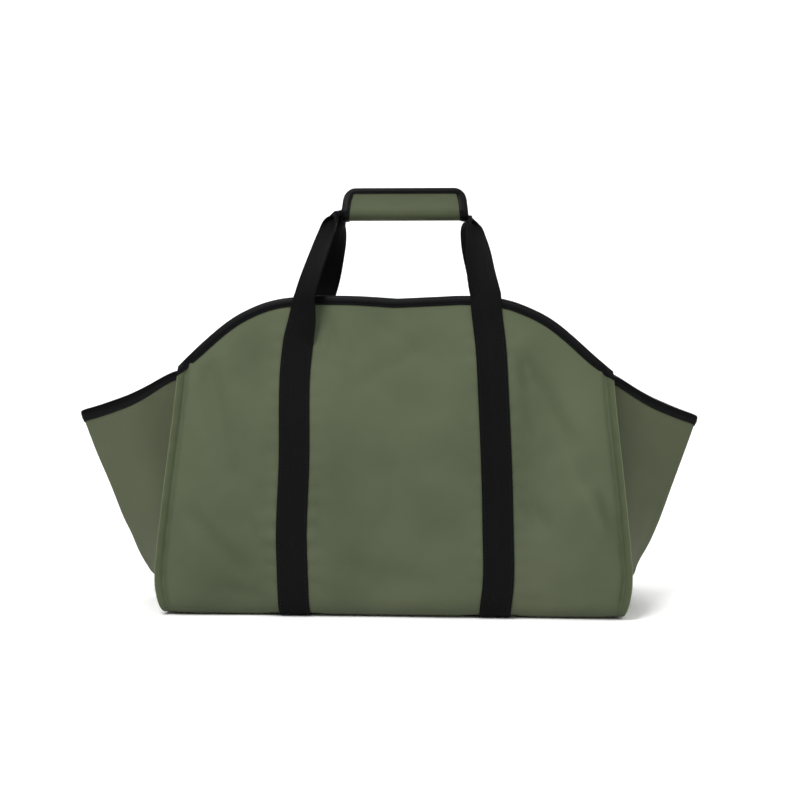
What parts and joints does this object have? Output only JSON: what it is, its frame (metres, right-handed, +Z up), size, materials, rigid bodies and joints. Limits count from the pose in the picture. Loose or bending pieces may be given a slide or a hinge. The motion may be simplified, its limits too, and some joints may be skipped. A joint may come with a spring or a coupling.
{
  "type": "firewood bag",
  "caption": "Open-topped canvas firewood bag with humped panels, winged ends, black bound edges and webbing handles held in a canvas grip.",
  "frame": {"origin": "on the ground, under the middle of the whole bag's box", "axes": "+X along the bag to the right as seen from the front, the front faces -Y, +Z up"},
  "size_m": [0.798, 0.255, 0.5278],
  "materials": {
    "canvas": "olive green coated woven polyester, matt with a faint sheen",
    "tape": "black woven binding tape, folded over the edge and stitched",
    "webbing": "black woven webbing, matt, ribbed along its length"
  },
  "bodies": {
    "root": {"canvas_body": "canvas", "end_gusset_left": "canvas", "end_gusset_right": "canvas", "grip_wrap": "canvas", "top_binding_front": "tape", "top_binding_back": "tape", "gusset_binding_left": "tape", "gusset_binding_right": "tape", "grip_binding": "tape", "webbing_front": "webbing", "webbing_back": "webbing"}
  },
  "joints": []
}
